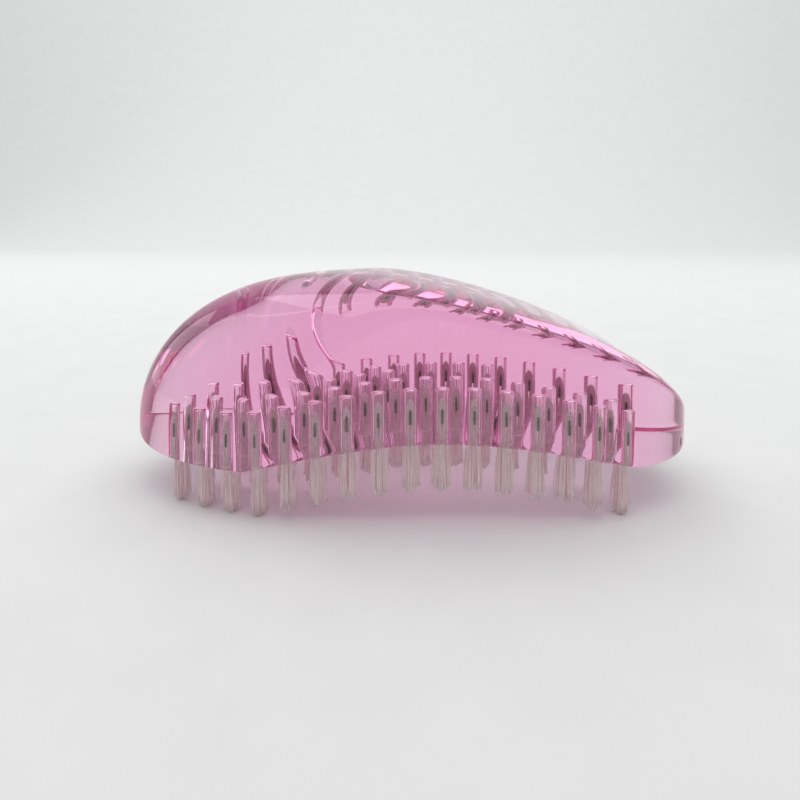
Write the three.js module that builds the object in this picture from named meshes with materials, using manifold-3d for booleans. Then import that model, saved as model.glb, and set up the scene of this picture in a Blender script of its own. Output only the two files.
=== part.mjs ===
// Fade brush: a palm-held barber's brush with a clear body and stapled nylon tufts.
// Millimetres, +Z up. The length runs along X, the width along Y.
// The origin is on the table, under the middle of the brush, and the tufts stand on z = 0.

import * as THREE from 'three';
import { mergeVertices } from 'three/addons/utils/BufferGeometryUtils.js';
import Module from 'manifold-3d';

const wasm = await Module();
wasm.setup();

// ---- Driving dimensions ----

const LENGTH = 120;
const HALF_LENGTH = LENGTH / 2;

// Outline in plan: a long oval, a little wider at the left.
const WIDEST_HALF_WIDTH = 26.1;
const WIDTH_TAPER = 0.02;
const LEFT_END_BLUNTNESS = 2.3;
const RIGHT_END_BLUNTNESS = 2.9;

// Underside: an arch that falls to a low point near each end, then curls up to the nose.
const ARCH_TOP_X = 7.8;
const ARCH_TOP_HEIGHT = 16.2;
const LEFT_REACH = 38.8;
const LEFT_LOW_HEIGHT = 9.7;
const RIGHT_REACH = 37.6;
const RIGHT_LOW_HEIGHT = 9.6;
const LEFT_CURL_POWER = 9.4;
const RIGHT_CURL_POWER = 24;

// Crown: the highest line of the body, falling to a rounded nose at each end.
const CROWN_HEIGHT = 46.3;
const CROWN_X = -7;
const LEFT_NOSE_HEIGHT = 14.2;
const LEFT_CROWN_CURVE = 2.77;
const LEFT_CROWN_ROUNDING = 0.53;
const RIGHT_NOSE_HEIGHT = 12.9;
const RIGHT_CROWN_CURVE = 1.27;
const RIGHT_CROWN_ROUNDING = 0.505;

// Cross-section: a crisp lower edge all along. The left end is a plain round dome, and from there the
// walls grow upright and the shoulder tight towards the right.
const ROUND_END_X = -38;
const SQUARE_FROM_X = 8;
const LEFT_WALL_FRACTION = 0.05;
const LEFT_DOME_POWER = 0.95;
const RIGHT_WALL_FRACTION = 0.8;
const RIGHT_DOME_POWER = 0.5;
const LOWER_EDGE_POWER = 0.06;

const FACETS_ALONG = 48;
const FACETS_AROUND = 36;
const ROUNDING_NOISE = 1e-6;

// Tuft holes: blind and vertical, drilled up from the underside.
const HOLE_RADIUS = 1.35;
const HOLE_DEPTH = 10.5;
const HOLE_FACETS = 10;
const HOLE_RUN_OUT = 3;
const TUFT_PITCH = 5.9;
const PLACE_ZERO_X = -34.6;
const EDGE_MARGIN = 3.8;

// Each row of holes, front to back. Places count pitches from PLACE_ZERO_X,
// and lane is the share of the way from the centre line to the outermost row.
const ROWS = [
  { name: 'front', lane: -1, firstPlace: -2, count: 16 },
  { name: 'front_inner', lane: -0.48, firstPlace: -1.5, count: 15 },
  { name: 'middle', lane: 0.04, firstPlace: -0.8, count: 7 },
  { name: 'back_inner', lane: 0.36, firstPlace: 2.7, count: 7 },
  { name: 'back', lane: 0.95, firstPlace: 0.3, count: 14 },
];

// Tufts: nylon filaments doubled over a staple, filling the hole and spreading below it.
const TUFT_RADIUS = 1.08;
const TIP_RADIUS = 1.6;
const FOLD_HEIGHT = 8.2;
const FOLD_SHOULDER = 1;
const LONGEST_TRIM = 10.6;
const TIP_ARCH_SHARE = 1.12;
const TUFT_FACETS = 8;

// ---- Materials ----

const clearPinkPlastic = new THREE.MeshStandardMaterial({
  color: 0xe58cc3,
  roughness: 0.05,
  metalness: 0,
  transparent: true,
  opacity: 0.45,
});

const paleNylon = new THREE.MeshStandardMaterial({
  color: 0xd9d0cf,
  roughness: 0.45,
  metalness: 0,
});

// ---- Form of the body ----

function halfWidthAt(x) {
  const along = x / HALF_LENGTH;
  const bluntness = along < 0 ? LEFT_END_BLUNTNESS : RIGHT_END_BLUNTNESS;
  const taper = 1 - (WIDTH_TAPER * (1 + along)) / 2;
  return WIDEST_HALF_WIDTH * taper * Math.sqrt(1 - Math.abs(along) ** bluntness);
}

function undersideAt(x) {
  const left = x < ARCH_TOP_X;
  const reach = left ? LEFT_REACH : RIGHT_REACH;
  const low = left ? LEFT_LOW_HEIGHT : RIGHT_LOW_HEIGHT;
  const out = Math.min(1, Math.abs(x - ARCH_TOP_X) / reach);
  const fall = Math.max(0, Math.cos((Math.PI / 2) * out));
  const arched = low + (ARCH_TOP_HEIGHT - low) * fall;
  const nose = x < 0 ? LEFT_NOSE_HEIGHT : RIGHT_NOSE_HEIGHT;
  const curlPower = x < 0 ? LEFT_CURL_POWER : RIGHT_CURL_POWER;
  const curl = 1 - Math.sqrt(1 - Math.abs(x / HALF_LENGTH) ** curlPower);
  return arched + (nose - arched) * curl;
}

function crownAt(x) {
  if (x < CROWN_X) {
    const out = (CROWN_X - x) / (CROWN_X + HALF_LENGTH);
    const fall = (1 - out ** LEFT_CROWN_CURVE) ** LEFT_CROWN_ROUNDING;
    return LEFT_NOSE_HEIGHT + (CROWN_HEIGHT - LEFT_NOSE_HEIGHT) * fall;
  }
  const out = (x - CROWN_X) / (HALF_LENGTH - CROWN_X);
  const fall = (1 - out ** RIGHT_CROWN_CURVE) ** RIGHT_CROWN_ROUNDING;
  return RIGHT_NOSE_HEIGHT + (CROWN_HEIGHT - RIGHT_NOSE_HEIGHT) * fall;
}

// A number's power with its sign kept, and the rounding noise about zero taken off.
function signedPower(value, power) {
  return Math.abs(value) < ROUNDING_NOISE ? 0 : Math.sign(value) * Math.abs(value) ** power;
}

// 0 where the section is a round dome and 1 where its walls are upright, with a smooth change between.
function squarenessAt(x) {
  return THREE.MathUtils.smoothstep(x, ROUND_END_X, SQUARE_FROM_X);
}

// A point of the cross-section at x. The angle is 0 at the back wall and a quarter turn at the crown.
function sectionPoint(x, angle) {
  const halfWidth = halfWidthAt(x);
  const underside = undersideAt(x);
  const crown = crownAt(x);
  const squareness = squarenessAt(x);
  const wallFraction = THREE.MathUtils.lerp(LEFT_WALL_FRACTION, RIGHT_WALL_FRACTION, squareness);
  const domePower = THREE.MathUtils.lerp(LEFT_DOME_POWER, RIGHT_DOME_POWER, squareness);
  const wallTop = underside + wallFraction * (crown - underside);
  const across = Math.cos(angle);
  const up = Math.sin(angle);
  const power = up > 0 ? domePower : LOWER_EDGE_POWER;
  const reach = up > 0 ? crown - wallTop : wallTop - underside;
  const y = halfWidth * signedPower(across, power);
  const z = wallTop + reach * signedPower(up, power);
  return new THREE.Vector3(x, y, z);
}

// A closed ball whose poles lie on X, with every point moved out to the brush's form.
function bodyBlank() {
  const ball = new THREE.SphereGeometry(1, FACETS_AROUND, FACETS_ALONG);
  ball.rotateZ(-Math.PI / 2);
  const position = ball.getAttribute('position');
  const point = new THREE.Vector3();
  for (let i = 0; i < position.count; i += 1) {
    point.fromBufferAttribute(position, i);
    const x = HALF_LENGTH * THREE.MathUtils.clamp(point.x, -1, 1);
    const moved = sectionPoint(x, Math.atan2(point.z, point.y));
    position.setXYZ(i, moved.x, moved.y, moved.z);
  }
  return ball;
}

// ---- Joining and cutting ----

function toSolid(geometry) {
  const bare = geometry.clone();
  bare.deleteAttribute('normal');
  bare.deleteAttribute('uv');
  const merged = mergeVertices(bare, 1e-4);
  const mesh = new wasm.Mesh({
    numProp: 3,
    vertProperties: new Float32Array(merged.getAttribute('position').array),
    triVerts: new Uint32Array(merged.index.array),
  });
  return new wasm.Manifold(mesh);
}

function toGeometry(solid) {
  const mesh = solid.getMesh();
  const geometry = new THREE.BufferGeometry();
  geometry.setAttribute('position', new THREE.BufferAttribute(mesh.vertProperties, 3));
  geometry.setIndex(new THREE.BufferAttribute(mesh.triVerts, 1));
  geometry.computeVertexNormals();
  return geometry;
}

// ---- Layout of the tufts ----

function tuftPlaces() {
  const places = [];
  for (const row of ROWS) {
    for (let n = 0; n < row.count; n += 1) {
      const x = PLACE_ZERO_X + TUFT_PITCH * (row.firstPlace + n);
      const y = row.lane * (halfWidthAt(x) - EDGE_MARGIN);
      const number = String(n + 1).padStart(2, '0');
      places.push({ name: `tuft_${row.name}_${number}`, x, y, mouth: undersideAt(x) });
    }
  }
  return places;
}

// ---- Sub-parts ----

function tuftHole(place) {
  const length = HOLE_DEPTH + HOLE_RUN_OUT;
  const drill = new THREE.CylinderGeometry(HOLE_RADIUS, HOLE_RADIUS, length, HOLE_FACETS);
  drill.rotateX(Math.PI / 2);
  drill.translate(place.x, place.y, place.mouth + HOLE_DEPTH - length / 2);
  return toSolid(drill);
}

function body(places) {
  let solid = toSolid(bodyBlank());
  for (const place of places) {
    solid = solid.subtract(tuftHole(place));
  }
  const mesh = new THREE.Mesh(toGeometry(solid), clearPinkPlastic);
  mesh.name = 'body';
  return mesh;
}

function tuft(place) {
  const fold = place.mouth + FOLD_HEIGHT;
  const tip = Math.max(0, TIP_ARCH_SHARE * (place.mouth - LONGEST_TRIM));
  const profile = [
    new THREE.Vector2(0, tip),
    new THREE.Vector2(TIP_RADIUS, tip),
    new THREE.Vector2(TUFT_RADIUS, place.mouth),
    new THREE.Vector2(TUFT_RADIUS, fold - FOLD_SHOULDER),
    new THREE.Vector2(0, fold),
  ];
  const bundle = new THREE.LatheGeometry(profile, TUFT_FACETS);
  bundle.rotateX(Math.PI / 2);
  const mesh = new THREE.Mesh(bundle, paleNylon);
  mesh.position.set(place.x, place.y, 0);
  mesh.name = place.name;
  return mesh;
}

// ---- Assembly ----

const brush = new THREE.Group();
const places = tuftPlaces();
brush.add(body(places));
for (const place of places) {
  brush.add(tuft(place));
}

export default brush;
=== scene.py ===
"""A fade brush: a clear pink body with an arched underside, and nylon tufts stapled into its holes.

Metres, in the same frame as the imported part: +Z up, the length along X, the tips on z = 0.
"""

import math
import random

import bpy
import numpy as np
from mathutils import Matrix, Vector


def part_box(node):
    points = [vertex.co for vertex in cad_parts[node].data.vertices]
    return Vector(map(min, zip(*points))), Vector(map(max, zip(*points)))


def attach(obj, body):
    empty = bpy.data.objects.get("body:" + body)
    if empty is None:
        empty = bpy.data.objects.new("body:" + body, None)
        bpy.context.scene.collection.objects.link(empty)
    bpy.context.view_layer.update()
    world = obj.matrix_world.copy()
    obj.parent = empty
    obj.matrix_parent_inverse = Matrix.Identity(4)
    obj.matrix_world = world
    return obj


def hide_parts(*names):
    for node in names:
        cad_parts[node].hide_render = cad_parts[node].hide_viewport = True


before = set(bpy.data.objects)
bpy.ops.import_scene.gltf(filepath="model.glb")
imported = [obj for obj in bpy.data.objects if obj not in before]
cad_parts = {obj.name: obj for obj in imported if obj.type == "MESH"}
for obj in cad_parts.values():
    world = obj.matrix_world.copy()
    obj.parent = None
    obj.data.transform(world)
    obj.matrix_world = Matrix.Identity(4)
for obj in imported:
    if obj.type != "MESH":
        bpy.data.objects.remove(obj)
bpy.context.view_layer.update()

MM = 0.001

# ---- Form of the body, the same figures as the part's own ----

HALF_LENGTH = 60 * MM
WIDEST_HALF_WIDTH = 26.1 * MM
WIDTH_TAPER = 0.02
LEFT_END_BLUNTNESS = 2.3
RIGHT_END_BLUNTNESS = 2.9
ARCH_TOP_X = 7.8 * MM
ARCH_TOP_HEIGHT = 16.2 * MM
LEFT_REACH = 38.8 * MM
LEFT_LOW_HEIGHT = 9.7 * MM
RIGHT_REACH = 37.6 * MM
RIGHT_LOW_HEIGHT = 9.6 * MM
LEFT_CURL_POWER = 9.4
RIGHT_CURL_POWER = 24
CROWN_HEIGHT = 46.3 * MM
CROWN_X = -7 * MM
LEFT_NOSE_HEIGHT = 14.2 * MM
LEFT_CROWN_CURVE = 2.77
LEFT_CROWN_ROUNDING = 0.53
RIGHT_NOSE_HEIGHT = 12.9 * MM
RIGHT_CROWN_CURVE = 1.27
RIGHT_CROWN_ROUNDING = 0.505
ROUND_END_X = -38 * MM
SQUARE_FROM_X = 8 * MM
LEFT_WALL_FRACTION = 0.05
LEFT_DOME_POWER = 0.95
RIGHT_WALL_FRACTION = 0.8
RIGHT_DOME_POWER = 0.5
LOWER_EDGE_POWER = 0.06
HOLE_RADIUS = 1.35 * MM
HOLE_DEPTH = 10.5 * MM
FOLD_HEIGHT = 8.2 * MM

ROUNDING_NOISE = 1e-6


def half_width_at(x):
    along = x / HALF_LENGTH
    bluntness = LEFT_END_BLUNTNESS if along < 0 else RIGHT_END_BLUNTNESS
    taper = 1 - WIDTH_TAPER * (1 + along) / 2
    return WIDEST_HALF_WIDTH * taper * math.sqrt(max(0.0, 1 - abs(along) ** bluntness))


def underside_at(x):
    left = x < ARCH_TOP_X
    reach = LEFT_REACH if left else RIGHT_REACH
    low = LEFT_LOW_HEIGHT if left else RIGHT_LOW_HEIGHT
    out = min(1.0, abs(x - ARCH_TOP_X) / reach)
    arched = low + (ARCH_TOP_HEIGHT - low) * max(0.0, math.cos(math.pi / 2 * out))
    nose = LEFT_NOSE_HEIGHT if x < 0 else RIGHT_NOSE_HEIGHT
    curl_power = LEFT_CURL_POWER if x < 0 else RIGHT_CURL_POWER
    curl = 1 - math.sqrt(max(0.0, 1 - abs(x / HALF_LENGTH) ** curl_power))
    return arched + (nose - arched) * curl


def crown_at(x):
    if x < CROWN_X:
        out = min(1.0, (CROWN_X - x) / (CROWN_X + HALF_LENGTH))
        fall = (1 - out**LEFT_CROWN_CURVE) ** LEFT_CROWN_ROUNDING
        return LEFT_NOSE_HEIGHT + (CROWN_HEIGHT - LEFT_NOSE_HEIGHT) * fall
    out = min(1.0, (x - CROWN_X) / (HALF_LENGTH - CROWN_X))
    fall = (1 - out**RIGHT_CROWN_CURVE) ** RIGHT_CROWN_ROUNDING
    return RIGHT_NOSE_HEIGHT + (CROWN_HEIGHT - RIGHT_NOSE_HEIGHT) * fall


def squareness_at(x):
    """0 where the section is a round dome, at the left, rising to 1 where it has upright walls."""
    share = min(1.0, max(0.0, (x - ROUND_END_X) / (SQUARE_FROM_X - ROUND_END_X)))
    return share * share * (3 - 2 * share)


def wall_fraction_at(x):
    return LEFT_WALL_FRACTION + (RIGHT_WALL_FRACTION - LEFT_WALL_FRACTION) * squareness_at(x)


def dome_power_at(x):
    return LEFT_DOME_POWER + (RIGHT_DOME_POWER - LEFT_DOME_POWER) * squareness_at(x)


def signed_power(value, power):
    if abs(value) < ROUNDING_NOISE:
        return 0.0
    return math.copysign(abs(value) ** power, value)


def section_point(x, angle):
    """A point of the cross-section at x: angle 0 is the back wall, a quarter turn the crown."""
    underside = underside_at(x)
    crown = crown_at(x)
    wall_top = underside + wall_fraction_at(x) * (crown - underside)
    up = math.sin(angle)
    power = dome_power_at(x) if up > 0 else LOWER_EDGE_POWER
    reach = crown - wall_top if up > 0 else wall_top - underside
    y = half_width_at(x) * signed_power(math.cos(angle), power)
    return Vector((x, y, wall_top + reach * signed_power(up, power)))


# ---- The body's mesh ----

RINGS_ALONG = 150
POINTS_AROUND = 144
HOLE_SIDES = 40
HOLE_RUN_OUT = 3 * MM
HOLE_END_ROUNDING = 0.45 * MM
ROUNDING_STEPS = 4
GATE_MARK_RADIUS = 0.85 * MM
GATE_MARK_DEPTH = 0.15 * MM
GATE_MARK_RUN_OUT = 1 * MM
GATE_MARK_X = 56.1 * MM
GATE_MARK_ANGLE = math.radians(180.5)
GATE_MARK_CENTRE = section_point(GATE_MARK_X, GATE_MARK_ANGLE)


def body_blank():
    """The closed body before its holes are cut, as rings of points along X and a point at each nose."""
    vertices = [section_point(-HALF_LENGTH, 0.0)]
    for ring in range(1, RINGS_ALONG):
        x = -HALF_LENGTH * math.cos(math.pi * ring / RINGS_ALONG)
        for n in range(POINTS_AROUND):
            vertices.append(section_point(x, 2 * math.pi * (n + 0.5) / POINTS_AROUND))
    vertices.append(section_point(HALF_LENGTH, 0.0))
    last = len(vertices) - 1
    faces = []
    for n in range(POINTS_AROUND):
        after = (n + 1) % POINTS_AROUND
        faces.append((0, 1 + after, 1 + n))
        for ring in range(RINGS_ALONG - 2):
            low = 1 + ring * POINTS_AROUND
            high = low + POINTS_AROUND
            faces.append((low + n, low + after, high + after, high + n))
        end = 1 + (RINGS_ALONG - 2) * POINTS_AROUND
        faces.append((last, end + n, end + after))
    return new_mesh("body_blank", vertices, faces)


def new_mesh(name, vertices, faces):
    mesh = bpy.data.meshes.new(name)
    mesh.from_pydata([tuple(v) for v in vertices], [], faces)
    mesh.update()
    return mesh


def new_object(name, mesh, material=None):
    thing = bpy.data.objects.new(name, mesh)
    bpy.context.scene.collection.objects.link(thing)
    if material is not None:
        mesh.materials.append(material)
    return thing


# ---- Places of the tufts, read from the frame ----


def tuft_nodes():
    return sorted(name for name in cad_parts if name.startswith("tuft_"))


def tuft_place(node):
    """(x, y, tip height, mouth height) of a tuft."""
    low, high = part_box(node)
    x = (low[0] + high[0]) / 2
    y = (low[1] + high[1]) / 2
    return x, y, low[2], high[2] - FOLD_HEIGHT


PLACES = {node: tuft_place(node) for node in tuft_nodes()}


def hole_cutters():
    """All the holes as closed round plugs in one mesh, each with its blind end's edge rounded off."""
    vertices = []
    faces = []
    for x, y, _, mouth in PLACES.values():
        end = mouth + HOLE_DEPTH
        rings = [(HOLE_RADIUS, mouth - HOLE_RUN_OUT), (HOLE_RADIUS, end - HOLE_END_ROUNDING)]
        for n in range(1, ROUNDING_STEPS + 1):
            turn = math.pi / 2 * n / ROUNDING_STEPS
            inset = HOLE_END_ROUNDING * (1 - math.cos(turn))
            drop = HOLE_END_ROUNDING * (1 - math.sin(turn))
            rings.append((HOLE_RADIUS - inset, end - drop))
        start = len(vertices)
        for radius, z in rings:
            for n in range(HOLE_SIDES):
                turn = 2 * math.pi * n / HOLE_SIDES
                vertices.append((x + radius * math.cos(turn), y + radius * math.sin(turn), z))
        for ring in range(len(rings) - 1):
            low = start + ring * HOLE_SIDES
            for n in range(HOLE_SIDES):
                after = (n + 1) % HOLE_SIDES
                faces.append((low + n, low + after, low + HOLE_SIDES + after, low + HOLE_SIDES + n))
        last = start + (len(rings) - 1) * HOLE_SIDES
        faces.append(tuple(start + n for n in reversed(range(HOLE_SIDES))))
        faces.append(tuple(last + n for n in range(HOLE_SIDES)))
    return new_mesh("hole_cutters", vertices, faces)


def gate_mark_cutter():
    """A short round plug, set square to the surface, for the small recess the mould's gate left."""
    out = outward(GATE_MARK_CENTRE)
    across = out.orthogonal().normalized()
    other = out.cross(across)
    vertices = []
    for reach in (-GATE_MARK_DEPTH, GATE_MARK_RUN_OUT):
        for n in range(HOLE_SIDES):
            turn = 2 * math.pi * n / HOLE_SIDES
            spoke = across * math.cos(turn) + other * math.sin(turn)
            vertices.append(GATE_MARK_CENTRE + out * reach + spoke * GATE_MARK_RADIUS)
    faces = []
    for n in range(HOLE_SIDES):
        after = (n + 1) % HOLE_SIDES
        faces.append((n, after, HOLE_SIDES + after, HOLE_SIDES + n))
    faces.append(tuple(reversed(range(HOLE_SIDES))))
    faces.append(tuple(range(HOLE_SIDES, 2 * HOLE_SIDES)))
    return new_mesh("gate_mark_cutter", vertices, faces)


def cut_body():
    """The body with its holes and the gate mark cut, as one mesh."""
    blank = new_object("clear_body", body_blank())
    cutters = [
        new_object("hole_cutters", hole_cutters()),
        new_object("gate_mark_cutter", gate_mark_cutter()),
    ]
    for cutter in cutters:
        cut = blank.modifiers.new(cutter.name, "BOOLEAN")
        cut.operation = "DIFFERENCE"
        cut.solver = "MANIFOLD"
        cut.object = cutter
    evaluated = blank.evaluated_get(bpy.context.evaluated_depsgraph_get())
    mesh = bpy.data.meshes.new_from_object(evaluated)
    blank.modifiers.clear()
    blank.data = mesh
    for cutter in cutters:
        bpy.data.objects.remove(cutter)
    return blank


# The slope is taken a hair inside the noses, where the width is not yet nothing.
NOSE_LIMIT = 0.9995 * HALF_LENGTH
SLOPE_STEP = 0.01 * MM


def outward(point):
    """The direction out of the body's outer surface at a point on it."""
    x = min(NOSE_LIMIT, max(-NOSE_LIMIT, point.x))

    def level(px, py, pz):
        underside = underside_at(px)
        crown = crown_at(px)
        wall_top = underside + wall_fraction_at(px) * (crown - underside)
        dome = pz > wall_top
        power = dome_power_at(px) if dome else LOWER_EDGE_POWER
        reach = crown - wall_top if dome else wall_top - underside
        across = abs(py) / half_width_at(px)
        up = abs(pz - wall_top) / reach
        return (across ** (2 / power) + up ** (2 / power)) ** (power / 2)

    y = point.y
    z = point.z
    slope = Vector(
        (
            level(x + SLOPE_STEP, y, z) - level(x - SLOPE_STEP, y, z),
            level(x, y + SLOPE_STEP, z) - level(x, y - SLOPE_STEP, z),
            level(x, y, z + SLOPE_STEP) - level(x, y, z - SLOPE_STEP),
        )
    )
    return slope.normalized()


# A point of a blind end this near the hole's axis faces straight down.
AXIS_NEARNESS = 0.01 * MM


def hole_normal(point, centre):
    """The direction into a hole at a point of its wall, of its rounded edge or of its blind end."""
    inward = Vector((centre[0] - point.x, centre[1] - point.y, 0))
    end = underside_at(centre[0]) + HOLE_DEPTH
    down = min(1.0, max(0.0, (point.z - (end - HOLE_END_ROUNDING)) / HOLE_END_ROUNDING))
    if inward.length < AXIS_NEARNESS:
        return Vector((0, 0, -1))
    level = inward.normalized() * math.sqrt(1 - down * down)
    return Vector((level.x, level.y, -down)).normalized()


# A face belongs to a hole when its middle is within these margins of the hole's round plug.
HOLE_WALL_MARGIN = 1.02
MOUTH_MARGIN = 0.05 * MM
END_MARGIN = 0.5 * MM


def smooth_body(thing):
    """Gives the outer surface and the hole walls their true normals, whatever faces the cut left."""
    mesh = thing.data
    mesh.shade_smooth()
    centres = [(x, y) for x, y, _, _ in PLACES.values()]
    xs = np.array([c[0] for c in centres])
    ys = np.array([c[1] for c in centres])
    near = (HOLE_WALL_MARGIN * HOLE_RADIUS) ** 2
    normals = [Vector((0, 0, 1))] * len(mesh.loops)
    cache = {}
    for face in mesh.polygons:
        centre = face.center
        if (centre - GATE_MARK_CENTRE).length < GATE_MARK_RADIUS:
            for loop in face.loop_indices:
                normals[loop] = face.normal.copy()
            continue
        gaps = (xs - centre.x) ** 2 + (ys - centre.y) ** 2
        nearest = int(gaps.argmin())
        hole = None
        lowest = underside_at(centre.x) + MOUTH_MARGIN
        highest = underside_at(centre.x) + HOLE_DEPTH + END_MARGIN
        if gaps[nearest] < near and lowest < centre.z < highest:
            hole = centres[nearest]
        for loop in face.loop_indices:
            index = mesh.loops[loop].vertex_index
            point = mesh.vertices[index].co
            if hole is None:
                if index not in cache:
                    cache[index] = outward(point)
                normals[loop] = cache[index]
            else:
                normals[loop] = hole_normal(point, hole)
    mesh.normals_split_custom_set(normals)


# ---- Materials ----

ACRYLIC_IOR = 1.49
TINT_COLOUR = (0.90, 0.15, 0.61, 1)
TINT_PER_METRE = 20
NYLON_IOR = 1.53
NYLON_CLEARNESS = 0.2
NYLON_MILKINESS = 0.2
# Painted light: the nylon's pinkish emission, which brightens the filaments though they are no lamp.
NYLON_PAINTED_LIGHT_COLOUR = (1.0, 0.72, 0.82, 1)
NYLON_PAINTED_LIGHT = 0.035


def new_material(name):
    material = bpy.data.materials.new(name)
    material.use_nodes = True
    shader = material.node_tree.nodes["Principled BSDF"]
    return material, material.node_tree, shader


def noise(tree, scale, detail=2.0):
    """A noise texture laid out in the object's own metres."""
    place = tree.nodes.new("ShaderNodeTexCoord")
    texture = tree.nodes.new("ShaderNodeTexNoise")
    texture.inputs["Scale"].default_value = scale
    texture.inputs["Detail"].default_value = detail
    tree.links.new(place.outputs["Object"], texture.inputs["Vector"])
    return texture.outputs["Fac"]


def between(tree, amount, low, high):
    """The amount, 0 to 1, taken to a range of values."""
    spread = tree.nodes.new("ShaderNodeMapRange")
    spread.inputs["To Min"].default_value = low
    spread.inputs["To Max"].default_value = high
    tree.links.new(amount, spread.inputs["Value"])
    return spread.outputs["Result"]


def blend(tree, amount, first, second):
    """A colour between two, by the amount."""
    ramp = tree.nodes.new("ShaderNodeValToRGB")
    ramp.color_ramp.elements[0].position = 0.35
    ramp.color_ramp.elements[0].color = first
    ramp.color_ramp.elements[1].position = 0.65
    ramp.color_ramp.elements[1].color = second
    tree.links.new(amount, ramp.inputs["Fac"])
    return ramp.outputs["Color"]


def bump(tree, shader, height, strength, distance):
    relief = tree.nodes.new("ShaderNodeBump")
    relief.inputs["Strength"].default_value = strength
    relief.inputs["Distance"].default_value = distance
    tree.links.new(height, relief.inputs["Height"])
    tree.links.new(relief.outputs["Normal"], shader.inputs["Normal"])


def clear_pink_plastic():
    """Clear acrylic tinted right through, with faint flow waves and a little handling haze."""
    material, tree, shader = new_material("clear_pink_plastic")
    shader.inputs["Base Color"].default_value = (1.0, 0.98, 0.99, 1)
    shader.inputs["IOR"].default_value = ACRYLIC_IOR
    shader.inputs["Transmission Weight"].default_value = 1.0
    haze = between(tree, noise(tree, 140, 4.0), 0.0, 0.05)
    tree.links.new(haze, shader.inputs["Roughness"])
    bump(tree, shader, noise(tree, 90), 0.06, 0.4 * MM)
    tint = tree.nodes.new("ShaderNodeVolumeAbsorption")
    tint.inputs["Color"].default_value = TINT_COLOUR
    tint.inputs["Density"].default_value = TINT_PER_METRE
    tree.links.new(tint.outputs["Volume"], tree.nodes["Material Output"].inputs["Volume"])
    return material


def pale_nylon():
    """Milky nylon filament, a little varied in colour. Its pink tint and faint glow are painted light,
    standing in for the body's pink light led down it.
    """
    material, tree, shader = new_material("pale_nylon")
    shader.inputs["IOR"].default_value = NYLON_IOR
    shader.inputs["Transmission Weight"].default_value = NYLON_CLEARNESS
    # The pink in both colours is painted light, the pink light the body sends onto the filaments; the
    # noise varies their tone at random.
    colour = blend(tree, noise(tree, 900), (0.96, 0.86, 0.88, 1), (1.0, 0.93, 0.94, 1))
    tree.links.new(colour, shader.inputs["Base Color"])
    tree.links.new(between(tree, noise(tree, 2500), 0.12, 0.3), shader.inputs["Roughness"])
    bump(tree, shader, noise(tree, 4000), 0.15, 0.03 * MM)
    # Painted light: a faint pinkish emission standing in for light led down the filaments.
    shader.inputs["Emission Color"].default_value = NYLON_PAINTED_LIGHT_COLOUR
    shader.inputs["Emission Strength"].default_value = NYLON_PAINTED_LIGHT
    milk = tree.nodes.new("ShaderNodeBsdfTranslucent")
    tree.links.new(colour, milk.inputs["Color"])
    mixed = tree.nodes.new("ShaderNodeMixShader")
    mixed.inputs["Fac"].default_value = NYLON_MILKINESS
    tree.links.new(shader.outputs["BSDF"], mixed.inputs[1])
    tree.links.new(milk.outputs["BSDF"], mixed.inputs[2])
    tree.links.new(mixed.outputs["Shader"], tree.nodes["Material Output"].inputs["Surface"])
    return material


def staple_metal():
    """Flat steel wire, dulled, its colour varied a little at random. Its very dark colour is painted
    shade, the shade inside the hole it sits in.
    """
    material, tree, shader = new_material("staple_metal")
    shader.inputs["Metallic"].default_value = 1.0
    # Painted shade: the steel is coloured near black for the shade deep in its hole.
    colour = blend(tree, noise(tree, 1500), (0.10, 0.06, 0.06, 1), (0.24, 0.17, 0.15, 1))
    tree.links.new(colour, shader.inputs["Base Color"])
    tree.links.new(between(tree, noise(tree, 3000), 0.3, 0.6), shader.inputs["Roughness"])
    bump(tree, shader, noise(tree, 5000), 0.3, 0.02 * MM)
    return material


def floor_paper():
    """Matt white paper with a faint tooth."""
    material, tree, shader = new_material("floor_paper")
    shader.inputs["Specular IOR Level"].default_value = 0.2
    colour = blend(tree, noise(tree, 60, 6.0), (0.80, 0.805, 0.80, 1), (0.82, 0.825, 0.82, 1))
    tree.links.new(colour, shader.inputs["Base Color"])
    tree.links.new(between(tree, noise(tree, 300), 0.6, 0.8), shader.inputs["Roughness"])
    bump(tree, shader, noise(tree, 1800, 4.0), 0.25, 0.05 * MM)
    return material


# ---- Tufts ----

FILAMENTS_PER_TUFT = 42
FILAMENT_RADIUS = 0.115 * MM
FILAMENT_SIDES = 5
PACKED_RADIUS = 1.18 * MM
STAPLE_TOP = 6.2 * MM
STAPLE_HEIGHT = 2.4 * MM
STAPLE_THICKNESS = 0.42 * MM
STAPLE_WIDTH = 2.62 * MM
STAPLE_CORNER = 0.35 * MM
OUTERMOST_HOLD = 0.97
LEAST_FLARE = 1.05
FLARE_SPREAD = 0.45
STRAY_SHARE = 0.08
STRAY_FLARE = 0.35
FLARE_POWER = 2.2
LEAN = 0.11 * MM
BEND = 0.10 * MM
EDGE_TRIM = 0.8
TRIM_UNEVENNESS = 0.95
INNERMOST_RISE = 0.25
RISE_SPREAD = 1.7
LEG_STEPS = (1.0, 0.8, 0.64, 0.5, 0.36, 0.22, 0.1, 0.0)
FOLD_STEPS = 8


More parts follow.
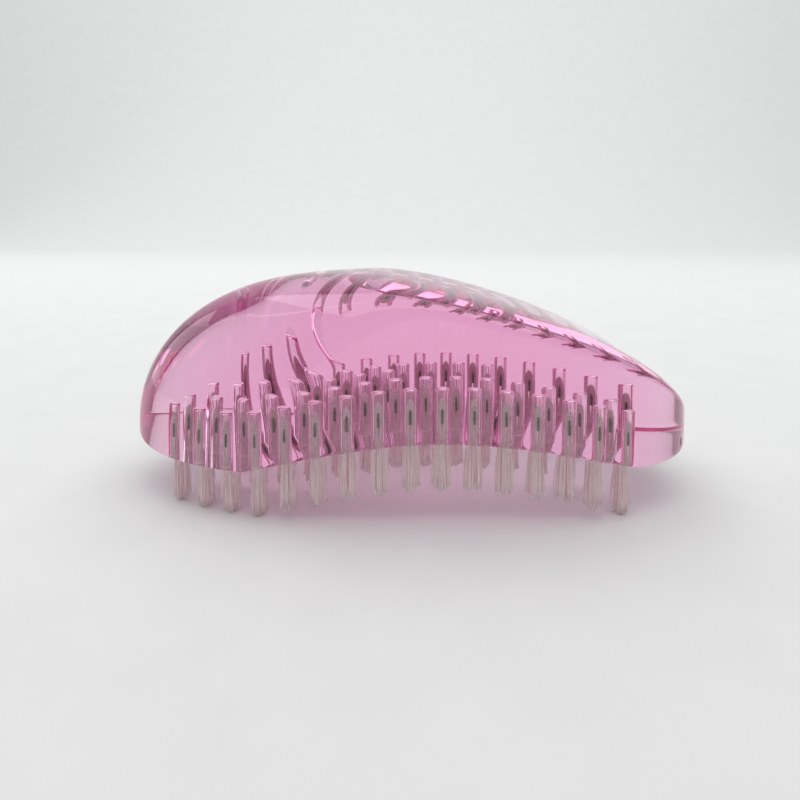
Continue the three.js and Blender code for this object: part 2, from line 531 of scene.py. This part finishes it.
def tube(points, radius, sides, vertices, faces):
    """Adds a closed round tube along the points to the lists."""
    start = len(vertices)
    count = len(points)
    side = None
    for i, point in enumerate(points):
        before = points[max(0, i - 1)]
        after = points[min(count - 1, i + 1)]
        along = (after - before).normalized()
        if side is None:
            side = along.orthogonal().normalized()
        side = (side - along * side.dot(along)).normalized()
        other = along.cross(side)
        for n in range(sides):
            turn = 2 * math.pi * n / sides
            vertices.append(point + (side * math.cos(turn) + other * math.sin(turn)) * radius)
    for i in range(count - 1):
        for n in range(sides):
            after = (n + 1) % sides
            low = start + i * sides
            faces.append((low + n, low + after, low + sides + after, low + sides + n))
    faces.append(tuple(start + n for n in reversed(range(sides))))
    faces.append(tuple(start + (count - 1) * sides + n for n in range(sides)))


def leg(draw, side, rank, slot, place):
    """Points of one leg of a filament, from the staple's top edge down to the tip."""
    x, y, tip, mouth = place
    held_x = side * fold_reach(rank)
    loose_x = side * rank * PACKED_RADIUS
    packed_y = slot * math.sqrt(PACKED_RADIUS**2 - held_x**2)
    edge = (loose_x**2 + packed_y**2) / PACKED_RADIUS**2
    flare = LEAST_FLARE + FLARE_SPREAD * draw.random()
    if draw.random() < STRAY_SHARE:
        flare += STRAY_FLARE
    lean_x = draw.gauss(0, LEAN)
    lean_y = draw.gauss(0, LEAN)
    bend = draw.gauss(0, BEND)
    end = tip + (EDGE_TRIM * edge**2 + abs(draw.gauss(0, TRIM_UNEVENNESS))) * MM
    points = []
    top = mouth + STAPLE_TOP
    staple_foot = top - STAPLE_HEIGHT
    for share in LEG_STEPS:
        z = end + (top - end) * share
        out = max(0.0, (mouth - z) / (mouth - end))
        loose = min(1.0, max(0.0, (staple_foot - z) / (staple_foot - mouth)))
        spread = 1 + (flare - 1) * (1 - (1 - out) ** FLARE_POWER)
        belly = 4 * out * (1 - out) * bend
        px = x + (held_x + (loose_x - held_x) * loose) * spread + lean_x * out + belly
        py = y + packed_y * spread + lean_y * out
        points.append(Vector((px, py, z)))
    return points


def fold_reach(rank):
    """How far a filament's leg stands off the middle of the staple."""
    nearest = STAPLE_THICKNESS / 2 + FILAMENT_RADIUS
    return nearest + rank * (OUTERMOST_HOLD * PACKED_RADIUS - nearest)


def fold(draw, rank, slot, place):
    """Points of the turn over the staple, from the left leg's top to the right leg's top."""
    x, y, _, mouth = place
    top = mouth + STAPLE_TOP
    reach = fold_reach(rank)
    packed_y = slot * math.sqrt(PACKED_RADIUS**2 - reach**2)
    rise = FILAMENT_RADIUS + (INNERMOST_RISE + rank * RISE_SPREAD) * MM
    points = []
    for n in range(1, FOLD_STEPS):
        turn = math.pi * n / FOLD_STEPS
        px = x - reach * math.cos(turn)
        points.append(Vector((px, y + packed_y, top + rise * math.sin(turn))))
    return points


def tuft_mesh(node):
    draw = random.Random(node)
    place = PLACES[node]
    vertices = []
    faces = []
    for n in range(FILAMENTS_PER_TUFT):
        rank = draw.random()
        slot = draw.uniform(-1, 1)
        left = leg(draw, -1, rank, slot, place)
        right = leg(draw, 1, rank, slot, place)
        points = list(reversed(left)) + fold(draw, rank, slot, place) + right
        tube(points, FILAMENT_RADIUS, FILAMENT_SIDES, vertices, faces)
    return new_mesh(node + "_filaments", vertices, faces)


def staple_mesh(node):
    """A flat plate set across the hole, with its corners cut."""
    x, y, _, mouth = PLACES[node]
    half_width = STAPLE_WIDTH / 2
    outline = [
        (-half_width, STAPLE_CORNER),
        (-half_width, STAPLE_HEIGHT - STAPLE_CORNER),
        (-half_width + STAPLE_CORNER, STAPLE_HEIGHT),
        (half_width - STAPLE_CORNER, STAPLE_HEIGHT),
        (half_width, STAPLE_HEIGHT - STAPLE_CORNER),
        (half_width, STAPLE_CORNER),
        (half_width - STAPLE_CORNER, 0),
        (-half_width + STAPLE_CORNER, 0),
    ]
    base = mouth + STAPLE_TOP - STAPLE_HEIGHT
    vertices = []
    for side in (-0.5, 0.5):
        for across, up in outline:
            vertices.append((x + side * STAPLE_THICKNESS, y + across, base + up))
    count = len(outline)
    faces = [tuple(range(count)), tuple(range(2 * count - 1, count - 1, -1))]
    for n in range(count):
        after = (n + 1) % count
        faces.append((n, count + n, count + after, after))
    return new_mesh(node + "_staple", vertices, faces)


# ---- Building the pieces ----


def build_body():
    thing = cut_body()
    smooth_body(thing)
    thing.data.materials.clear()
    thing.data.materials.append(clear_pink_plastic())
    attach(thing, "root")
    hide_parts("body")


def build_tufts():
    nylon = pale_nylon()
    metal = staple_metal()
    for node in PLACES:
        tuft = new_object(node + "_filaments", tuft_mesh(node), nylon)
        tuft.data.shade_smooth()
        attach(tuft, "root")
        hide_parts(node)
        staple = new_object(node + "_staple", staple_mesh(node), metal)
        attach(staple, "root")


# ---- Floor, light and camera ----

FLOOR_FRONT = -0.8
FLOOR_BACK = 0.9
SWEEP_RADIUS = 0.7
SWEEP_HALF_WIDTH = 2.2
SWEEP_HEIGHT = 2.0
SWEEP_STEPS = 24


def build_floor():
    """A sheet of paper that lies flat under the brush and curves up behind it with no horizon."""
    profile = [(FLOOR_FRONT, 0.0), (FLOOR_BACK, 0.0)]
    for n in range(1, SWEEP_STEPS + 1):
        turn = math.pi / 2 * n / SWEEP_STEPS
        rise = SWEEP_RADIUS * (1 - math.cos(turn))
        profile.append((FLOOR_BACK + SWEEP_RADIUS * math.sin(turn), rise))
    profile.append((FLOOR_BACK + SWEEP_RADIUS, SWEEP_HEIGHT))
    vertices = []
    for y, z in profile:
        vertices.append((-SWEEP_HALF_WIDTH, y, z))
        vertices.append((SWEEP_HALF_WIDTH, y, z))
    faces = [(2 * n, 2 * n + 1, 2 * n + 3, 2 * n + 2) for n in range(len(profile) - 1)]
    floor = new_object("floor", new_mesh("floor", vertices, faces), floor_paper())
    floor.data.shade_smooth()


WORLD_COLOUR = (0.93, 0.97, 0.96, 1)
WORLD_STRENGTH = 0.27


def area_light(name, place, target, size, power):
    data = bpy.data.lights.new(name, "AREA")
    data.shape = "RECTANGLE"
    data.size, data.size_y = size
    data.energy = power
    light = bpy.data.objects.new(name, data)
    light.location = place
    light.rotation_euler = (Vector(target) - Vector(place)).to_track_quat("-Z", "Y").to_euler()
    bpy.context.scene.collection.objects.link(light)


def build_light():
    world = bpy.data.worlds.new("studio")
    bpy.context.scene.world = world
    world.use_nodes = True
    background = world.node_tree.nodes["Background"]
    background.inputs["Color"].default_value = WORLD_COLOUR
    background.inputs["Strength"].default_value = WORLD_STRENGTH
    area_light("overhead", (0.0, -0.02, 1.1), (0, 0.0, 0.02), (1.9, 1.5), 13.2)
    area_light("left_softbox", (-1.2, 0.45, 0.4), (0, 0.0, 0.03), (0.5, 0.9), 2.2)
    area_light("backdrop_wash", (0.0, 0.2, 1.4), (0, 1.6, 1.1), (5.6, 0.8), 27.0)


CAMERA_LENS = 26.6
CAMERA_SENSOR_WIDTH = 36
CAMERA_NEAREST = 5 * MM
CAMERA_DISTANCE = 130.75 * MM
CAMERA_HEIGHT = 57.8 * MM
CAMERA_SIDE = -1.8 * MM
CAMERA_YAW = math.radians(1.7)
CAMERA_PITCH = math.radians(4)
CAMERA_SHIFT = -0.175


def build_camera():
    data = bpy.data.cameras.new("camera")
    data.lens = CAMERA_LENS
    data.sensor_width = CAMERA_SENSOR_WIDTH
    data.shift_y = CAMERA_SHIFT
    data.clip_start = CAMERA_NEAREST
    camera = bpy.data.objects.new("camera", data)
    turn = Matrix.Rotation(CAMERA_YAW, 4, "Z")
    camera.matrix_world = (
        turn
        @ Matrix.Translation((CAMERA_SIDE, -CAMERA_DISTANCE, CAMERA_HEIGHT))
        @ Matrix.Rotation(math.pi / 2 - CAMERA_PITCH, 4, "X")
    )
    bpy.context.scene.collection.objects.link(camera)
    bpy.context.scene.camera = camera
    bpy.context.scene.view_settings.view_transform = "Standard"


# Light crosses many walls of clear plastic and nylon before it leaves the brush.
MOST_BOUNCES = 48
DIFFUSE_BOUNCES = 16


def deepen_light_paths():
    paths = bpy.context.scene.cycles
    paths.max_bounces = MOST_BOUNCES
    paths.transmission_bounces = MOST_BOUNCES
    paths.glossy_bounces = MOST_BOUNCES
    paths.diffuse_bounces = DIFFUSE_BOUNCES


build_camera()
deepen_light_paths()
build_floor()
build_light()
build_body()
build_tufts()
